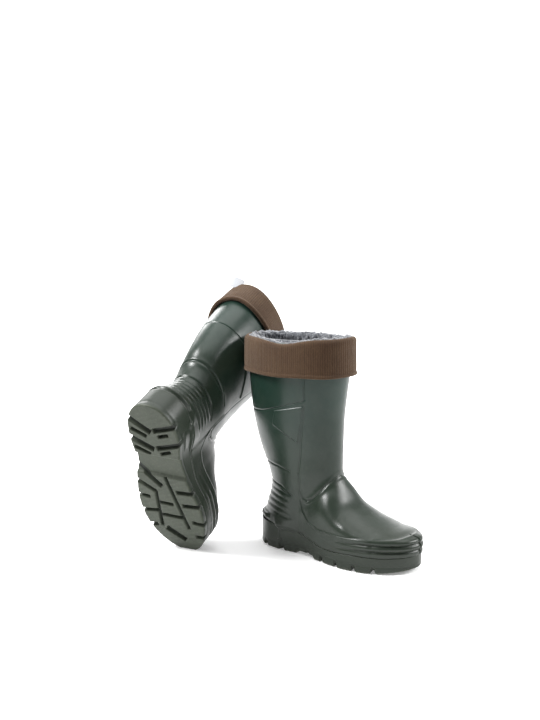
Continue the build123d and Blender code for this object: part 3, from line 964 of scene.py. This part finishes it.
# %% Profile and drape of the collar
RIM_X, RIM_A, RIM_B = 81.5, 102.5, 65.5
RIBS = 150
RIB_DEPTH = 0.75
COLLAR = [(6.1, 324), (6.5, 340), (6.4, 360), (6.2, 373), (5.6, 379.5), (3.6, 383.0),
          (0.6, 384.4), (-2.0, 383.6), (-3.0, 381.5), (-2.0, 379.6), (0.8, 379.0), (1.1, 370),
          (1.1, 324)]
ROLL = [(-0.6, 379.6), (-1.4, 383.2), (-4.0, 385.4), (-8.5, 385.8), (-12.6, 384.0),
        (-14.8, 379.5), (-14.4, 370), (-10.5, 369), (-8.0, 377), (-5.0, 379.4)]
HEM = [(1.0, 322.3), (5.0, 321.6), (7.2, 322.6), (7.9, 325), (7.2, 327.8), (5.4, 328.9),
       (1.0, 328.5)]
FOLD_LEVEL = 381.0  # over this level the ribs stand up rather than out


def spaced(profile, step):
    """The closed profile's points at even steps along it."""
    line = np.array(profile + profile[:1], float)
    run = np.concatenate([[0], np.cumsum(np.hypot(*np.diff(line, axis=0).T))])
    at = np.linspace(0, run[-1], int(run[-1] / step) + 1)
    return np.stack([np.interp(at, run, line[:, 0]), np.interp(at, run, line[:, 1])], 1)


def drape(bearing, z):
    """How the cloth wanders: outward and upward shifts round the rim at a level."""
    low = smooth_step((372 - z) / 45)
    high = smooth_step((z - 368) / 14)
    out = low * (0.5 + 0.5 * np.sin(3 * bearing + 2.0) + 0.3 * np.sin(7 * bearing + 0.6))
    out += high * (0.4 * np.sin(4 * bearing + 1.1) + 1.6 * np.exp(-((bearing / 0.5) ** 2)))
    side = np.exp(-(((bearing + 1.42) / 0.36) ** 2))
    up = high * (0.9 * np.sin(2 * bearing + 1.9) + 0.6 * np.sin(5 * bearing) - 6.0 * side)
    up += high * 2.6 * np.exp(-((bearing / 0.6) ** 2))
    up += low * (0.8 * np.sin(2 * bearing + 0.4) + 0.5 * np.sin(6 * bearing + 2))
    return out, up


def sweep(profile, step, columns, depth):
    """A ring of cloth: the profile swept round the rim, with ribs of the given depth."""
    section = spaced(profile, step)
    bearing = np.linspace(0, 2 * pi, columns + 1)
    turned = (bearing + pi) % (2 * pi) - pi
    run = np.concatenate([[0], np.cumsum(np.hypot(RIM_A * np.diff(np.cos(bearing)),
                                                  RIM_B * np.diff(np.sin(bearing))))])
    rib = np.abs(np.sin(pi * RIBS * run / run[-1])) ** 0.7
    nx, ny = np.cos(bearing) / RIM_A, np.sin(bearing) / RIM_B
    length = np.hypot(nx, ny)
    points = np.empty((len(section), columns + 1, 3))
    for row, (offset, z) in enumerate(section):
        out, up = drape(turned, z)
        shown = smooth_step((offset - 2) / 3) + smooth_step((z - 379) / 3)
        swell = depth * (rib - 0.6) * np.clip(shown, 0, 1)
        reach = offset + out * smooth_step((offset + 8) / 8) + swell * (z < FOLD_LEVEL)
        points[row, :, 0] = RIM_X + RIM_A * np.cos(bearing) + reach * nx / length
        points[row, :, 1] = RIM_B * np.sin(bearing) + reach * ny / length
        points[row, :, 2] = z + up + swell * (z >= FOLD_LEVEL)
    return points, rib


def knit_mesh(profile, step, columns, depth):
    """A knitted ring with its stitch map and the depth of its ribs, which the knit's finish paints
    as shade.
    """
    points, rib = sweep(profile, step, columns, depth)
    rows = len(points)
    mesh = bmesh.new()
    uv = mesh.loops.layers.uv.new("stitches")
    valley = mesh.verts.layers.float.new("rib")
    bmesh.ops.create_grid(mesh, x_segments=rows - 1, y_segments=columns, size=1)
    for face in mesh.faces:
        for loop in face.loops:
            across, round_it = (loop.vert.co.y + 1) / 2, (loop.vert.co.x + 1) / 2
            loop[uv].uv = (across * STITCHES_ROUND, round_it * (rows - 1) * step / 1.4)
    for vert in mesh.verts:
        row, column = grid_spot(vert, points.shape)
        vert.co = points[row, column]
        vert[valley] = 1 - rib[column]
    bmesh.ops.remove_doubles(mesh, verts=mesh.verts, dist=0.005)
    bmesh.ops.recalc_face_normals(mesh, faces=mesh.faces)
    return mesh


KNIT_COLUMNS = RIBS * 4
KNIT_STEP = 2.4
collar = knit_mesh(COLLAR, KNIT_STEP, KNIT_COLUMNS, RIB_DEPTH)
print("collar", len(collar.faces), "faces")
collars = place_pair("collar", collar, KNIT, "rib_knit", "liner", "cuff")
hems = place_pair("collar_hem", knit_mesh(HEM, KNIT_STEP / 2, KNIT_COLUMNS, RIB_DEPTH / 2),
                  KNIT, "rib_knit", "liner", "cuff_hem")

# %% [markdown]
# ## The roll of pile at the mouth
# Inside the fold the lining shows as a soft grey roll. It is swept like the collar, so it
# keeps to the same wander, and then made lumpy.

# %% Roll of pile
ROLL_STEP = 1.6
roll = knit_mesh(ROLL, ROLL_STEP, ROUND * 3, 0.0)
p = positions(roll)
swell = 0.7 * (1.1 * lumps(p, 9) + 0.7 * lumps(p, 4))
away = np.array([vert.normal for vert in roll.verts])
move_to(roll, p + away * swell[:, None])
print("roll of pile", len(roll.faces), "faces")
for piece in place_pair("pile_roll", roll, PILE, "pile", "liner"):
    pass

# %% [markdown]
# ## The tag
# A woven tag is sewn into the left collar. It carries no words here. It is a small square
# of tape, so a grid is bent back a little at its free end and then thickened.

# %% Woven tag
TAG_BEARING = radians(194)
TAG_SIZE = 22.0
TAG_LEVEL = 379.0
TAG_TURN = radians(-39)
TAG_TILT = radians(22)
TAG_REACH = 9.5
TAG_THICK = 0.7


def tag_mesh():
    """The tape, standing at the back of the collar."""
    mesh = bmesh.new()
    uv = mesh.loops.layers.uv.new("stitches")
    bmesh.ops.create_grid(mesh, x_segments=14, y_segments=14, size=TAG_SIZE / 2)
    for face in mesh.faces:
        for loop in face.loops:
            loop[uv].uv = loop.vert.co.xy * 3
    toward = Vector((np.cos(TAG_BEARING), np.sin(TAG_BEARING), 0))
    out = Vector((toward.x / RIM_A, toward.y / RIM_B, 0)).normalized()
    out.rotate(Matrix.Rotation(TAG_TURN, 3, "Z"))
    along = Vector((-out.y, out.x, 0))
    root = Vector((RIM_X + (RIM_A + TAG_REACH) * toward.x, (RIM_B + TAG_REACH) * toward.y,
                   TAG_LEVEL))
    rise = out * np.sin(TAG_TILT) + Vector((0, 0, np.cos(TAG_TILT)))
    for vert in mesh.verts:
        across, up = vert.co.x, vert.co.y
        curl = 0.012 * max(up, 0) ** 2 - 0.006 * across**2 + 0.3
        vert.co = root + along * across + out * curl + rise * up
    bmesh.ops.solidify(mesh, geom=mesh.faces[:], thickness=TAG_THICK)
    bmesh.ops.recalc_face_normals(mesh, faces=mesh.faces)
    return mesh


tag_drawing = tag_mesh()
tag = make_piece("left_woven_tag", tag_drawing, "left", TAPE, "left_liner",
                 ["left_tag"])
tag_drawing.free()
print("tag", [round(side * 1000) for side in tag.dimensions], "mm")

# %% [markdown]
# ## The lugged outsole
# A tread is moulded with sloping groove walls and rounded lugs, which a boolean cut does
# not give. So the underside is a height over the sole's plan, on a grid whose columns run
# out from the sole's middle line to its edge. The same columns then climb the side wall,
# turn in over the rim and close over the slab that the shell stands on.

# %% Height of the tread
TREAD_DEPTH = 5.5
TOE_SPRING = 8.0
SPRING_AT = 0.73 * FOOT_LENGTH
ARCH = (102.0, 148.0)
EDGE_ROUND = 1.8
FINE_RIBS = 0.25  # height of the fine ribs on the lugs
GROOVE_DEPTH = 7.5
GROOVE_SLOPE = 1.6
# Both ends of each groove, as shares of the foot's length and the ball's half width, and
# its width in millimetres.
GROOVES = [
    (0.075, -0.80, 0.165, -0.06, 9.0), (0.160, -0.64, 0.195, -0.22, 5.0),
    (0.205, -0.90, 0.272, -0.08, 9.0), (0.276, -0.66, 0.308, -0.22, 5.0),
    (0.105, 0.80, 0.155, 0.04, 7.0), (0.168, 0.46, 0.188, 0.16, 4.0),
    (0.215, 0.80, 0.265, 0.04, 7.0), (0.275, 0.42, 0.298, 0.12, 4.0),
    (0.375, -0.90, 0.520, -0.12, 8.0), (0.490, -1.05, 0.565, -0.36, 6.0),
    (0.565, -0.36, 0.815, -0.44, 5.0), (0.455, 0.06, 0.800, 0.45, 5.0),
    (0.545, 0.32, 0.535, 0.95, 6.0), (0.635, 0.42, 0.620, 1.05, 6.0),
    (0.745, 0.62, 0.750, 1.05, 6.0), (0.640, -0.36, 0.640, 0.10, 5.0),
    (0.730, -0.42, 0.725, 0.30, 5.0), (0.610, -1.10, 0.615, -0.62, 5.0),
    (0.725, -1.10, 0.705, -0.44, 5.0), (0.835, -1.00, 0.815, -0.60, 6.0),
    (0.830, -0.30, 0.900, 0.22, 12.0), (0.855, 0.62, 0.850, 0.98, 6.0),
]


def in_grooves(x, y):
    """How far into a groove a plan point is, from 0 on a lug to 1 on a groove's floor."""
    deepest = np.zeros(len(x))
    for x1, y1, x2, y2, width in GROOVES:
        start = np.array([x1 * FOOT_LENGTH, y1 * BALL])
        run = np.array([x2 * FOOT_LENGTH, y2 * BALL]) - start
        length = np.hypot(*run)
        along = ((x - start[0]) * run[0] + (y - start[1]) * run[1]) / length
        across = ((y - start[1]) * run[0] - (x - start[0]) * run[1]) / length
        inside = np.minimum(np.minimum(along, length - along), width / 2 - np.abs(across))
        deepest = np.maximum(deepest, smooth_step((inside + GROOVE_SLOPE) / 2.2))
    return deepest


def toe_rise(x):
    """How far the plain tread is off the floor towards the toe."""
    return TOE_SPRING * (np.maximum(x - SPRING_AT, 0) / (FOOT_LENGTH - SPRING_AT)) ** 2


def tread_level(x, y, grooves):
    """Level of the underside, with its lugs' edges rounded at the sole's outline."""
    arch = smooth_step((x - ARCH[0]) / 5) * smooth_step((ARCH[1] - x) / 5)
    level = toe_rise(x) + np.maximum(TREAD_DEPTH * arch, GROOVE_DEPTH * grooves)
    level += FINE_RIBS * np.abs(np.sin(x / 3.1 + 0.15 * y)) * (1 - grooves) * (1 - arch)
    near = np.clip(EDGE_ROUND + sole_gap(x, y), 0, EDGE_ROUND)
    return level + EDGE_ROUND - np.sqrt(EDGE_ROUND**2 - near**2)


print("tread", len(GROOVES), "grooves", GROOVE_DEPTH, "mm deep")

# %% [markdown]
# ## The grid of the outsole
# Columns run from the sole's middle line out to its edge, right round from the toe's tip.
# A row of points at each share of the way out makes the tread, and more rows climb the
# side wall, so the grooves break through the wall's lower edge as they do in a mould.

# %% Grid of the outsole
MIDDLE_LINE = (45.0, 268.0)
CELL = 1.0
CUP_WALL = 2.0
HALF_GIRTH = 62.0
NOTCH_DEPTH = 2.6


def plan_rays():
    """Start, way and reach of the plan's columns, right round from the toe's tip."""
    sides = np.linspace(*MIDDLE_LINE, int((MIDDLE_LINE[1] - MIDDLE_LINE[0]) / CELL))
    fan = np.linspace(0, pi / 2, int(HALF_GIRTH / CELL))
    starts, ways = [], []
    for angle in fan[:-1]:
        starts.append((MIDDLE_LINE[1], 0))
        ways.append((np.cos(angle), np.sin(angle)))
    starts += [(x, 0) for x in sides[::-1]]
    ways += [(0, 1)] * len(sides)
    for angle in np.linspace(pi / 2, 3 * pi / 2, int(2 * HALF_GIRTH / CELL))[1:-1]:
        starts.append((MIDDLE_LINE[0], 0))
        ways.append((np.cos(angle), np.sin(angle)))
    starts += [(x, 0) for x in sides]
    ways += [(0, -1)] * len(sides)
    for angle in fan[1:]:
        starts.append((MIDDLE_LINE[1], 0))
        ways.append((np.sin(angle), -np.cos(angle)))
    starts, ways = np.array(starts, float), np.array(ways, float)
    reach = np.full(len(starts), 30.0)
    for _ in range(60):
        spots = starts + ways * reach[:, None]
        reach = np.clip(reach - sole_gap(spots[:, 0], spots[:, 1]) * 0.8, 1, 80)
    return starts, ways, reach


def outsole_points():
    """The outsole's grid of points, with the groove share that paints shade and how much tread
    each one is.
    """
    starts, ways, reach = plan_rays()
    rows, groove_shade, tread = [], [], []

    def add_row(inset, level, is_tread, share=None):
        far = reach - inset if share is None else reach * share
        spots = starts + ways * np.maximum(far, 0)[:, None]
        x, y = spots.T
        grooves = in_grooves(x, y)
        z = tread_level(x, y, grooves) if level is None else level(x)
        rows.append(np.stack([x, y, z], 1))
        groove_shade.append(grooves if is_tread else 0 * grooves)
        tread.append(np.full(len(x), float(is_tread)))

    for share in np.linspace(0, 1, int(HALF_GIRTH / CELL))[:-4]:
        add_row(0, None, True, share)
    for inset in (2.4, 1.6, 1.0, 0.5, 0.15):
        add_row(inset, None, True)
    edge = rows[-1].copy()
    notch = in_grooves(edge[:, 0], edge[:, 1])
    top = curve(edge[:, 0], PARTING_AT, PARTING)
    for share in np.linspace(0, 1, 22)[1:]:
        z = edge[:, 2] + (top - 0.6 - edge[:, 2]) * share
        cut = NOTCH_DEPTH * notch * smooth_step((14 - z) / 7)
        flare = 0.5 * smooth_step((12 - z) / 8) - 0.5 * np.exp(-(((z - 13) / 1.2) ** 2))
        spots = starts + ways * (reach - cut + flare)[:, None]
        rows.append(np.column_stack([spots, z]))
        # painted shade also darkens the notches where the grooves break through the wall
        groove_shade.append(notch * smooth_step((12 - z) / 6))
        tread.append(smooth_step((6 - z) / 5))
    for inset, drop in ((0.25, 0.15), (0.7, 0), (CUP_WALL - 0.3, 0), (CUP_WALL, 0.5)):
        add_row(inset, lambda x, drop=drop: curve(x, PARTING_AT, PARTING) - drop, False)
    add_row(CUP_WALL, lambda x: np.full(len(x), CUP_FLOOR - 0.5), False)
    for share in (0.6, 0.3, 0):
        add_row(0, lambda x: np.full(len(x), CUP_FLOOR - 0.5), False, share)
    parts = np.array(rows), np.array(groove_shade), np.array(tread)
    return [np.concatenate([part, part[:, :1]], 1) for part in parts]


def outsole_mesh():
    """The closed outsole, with its groove share, which paints shade, and its tread share kept on
    its points.
    """
    points, groove_shade, tread = outsole_points()
    rows, columns = points.shape[:2]
    mesh = bmesh.new()
    depth = mesh.verts.layers.float.new("groove_shade")
    under = mesh.verts.layers.float.new("tread")
    bmesh.ops.create_grid(mesh, x_segments=rows - 1, y_segments=columns - 1, size=1)
    for vert in mesh.verts:
        spot = grid_spot(vert, points.shape)
        vert.co = points[spot]
        vert[depth], vert[under] = groove_shade[spot], tread[spot]
    bmesh.ops.remove_doubles(mesh, verts=mesh.verts, dist=0.02)
    bmesh.ops.recalc_face_normals(mesh, faces=mesh.faces)
    return mesh


drawing = outsole_mesh()
print("outsole", len(drawing.faces), "faces, open edges",
      sum(edge.is_boundary for edge in drawing.edges))
place_pair("outsole_lugs", drawing, RUBBER, "outsole_rubber", "boot", "outsole")

# %% [markdown]
# ## The footbeds
# The footbeds are right as they are packed, so they only change finish.

# %% Finish for the footbeds
for side in PLACES:
    for finish_slot in bpy.data.objects[f"{side}_insole"].material_slots:
        finish_slot.material = FOOTBED
print("footbeds use", FOOTBED.name)

# %% [markdown]
# ## Floor and light
# A pale floor runs up into a pale wall, so no horizon shows. A wide lamp overhead makes the
# long soft highlights that satin foam shows, and a smaller one high on the left is the key.
# Two weaker ones behind draw the edges of the dark shapes, and the last lights the wall.

# %% Stage
def soft_lamp(name, place, target, size, power):
    """A square area lamp that looks at the target."""
    lamp = bpy.data.lights.new(name, "AREA")
    lamp.energy, lamp.size = power, size
    made = bpy.data.objects.new(name, lamp)
    made.location = place
    made.rotation_euler = (Vector(target) - Vector(place)).to_track_quat("-Z", "Y").to_euler()
    bpy.context.scene.collection.objects.link(made)


WALL_START, WALL_RISE = 3.0, 0.35
FLOOR_DROP = 0.0005
PAPER_GLOW = 0.25


def backdrop():
    """A floor that curves up into a wall behind."""
    mesh = bmesh.new()
    bmesh.ops.create_grid(mesh, x_segments=1, y_segments=40, size=8)
    for vert in mesh.verts:
        rise = max(vert.co.y - WALL_START, 0)
        vert.co.z = -FLOOR_DROP + WALL_RISE * rise**2
    data = bpy.data.meshes.new("backdrop")
    mesh.to_mesh(data)
    mesh.free()
    data.transform(Matrix.Rotation(radians(34), 4, "Z"))
    data.polygons.foreach_set("use_smooth", [True] * len(data.polygons))
    paper = Finish("backdrop_paper", 0.9, 0.1)
    paper.colour((0.86, 0.86, 0.86, 1))
    paper.shader.inputs["Emission Color"].default_value = (1, 1, 1, 1)
    paper.shader.inputs["Emission Strength"].default_value = PAPER_GLOW
    data.materials.append(paper.made)
    made = bpy.data.objects.new("backdrop", data)
    bpy.context.scene.collection.objects.link(made)


backdrop()
MIDDLE = (0.02, 0.0, 0.2)
soft_lamp("overhead", (0.1, 0.5, 2.6), (0, 0.4, 0), 2.4, 62)
soft_lamp("key", (-0.9, -1.0, 1.7), MIDDLE, 0.7, 80)
soft_lamp("right", (1.5, 1.0, 1.1), MIDDLE, 0.8, 40)
soft_lamp("edge", (-1.5, 0.9, 1.2), MIDDLE, 0.8, 14)
soft_lamp("wall", (-1.4, 2.6, 3.2), (-2.6, 5.0, 1.2), 2.5, 330)
world = bpy.data.worlds.new("studio")
world.use_nodes = True
world.node_tree.nodes["Background"].inputs["Color"].default_value = (1, 1, 1, 1)
world.node_tree.nodes["Background"].inputs["Strength"].default_value = 0.34
bpy.context.scene.world = world
bpy.context.scene.view_settings.view_transform = "Standard"
print("lamps", [lamp.name for lamp in bpy.data.lights])

# %% [markdown]
# ## Camera
# The camera stands in front of the right boot's toe, to its outer side, and looks down a
# little. A shift keeps upright lines as they are and moves the boots in the frame.

# %% Camera
camera = bpy.data.cameras.new("camera")
camera.lens, camera.sensor_width, camera.sensor_fit = 40.47, 36.0, "AUTO"
camera.shift_x, camera.shift_y = -0.0857, 0.1549
eye = bpy.data.objects.new("camera", camera)
eye.location = (0.9347, -1.1379, 0.5291)
eye.rotation_euler = Vector((-0.5475, 0.7939, -0.2645)).to_track_quat("-Z", "Y").to_euler()
bpy.context.scene.collection.objects.link(eye)
bpy.context.scene.camera = eye
print("lens", camera.lens, "mm")
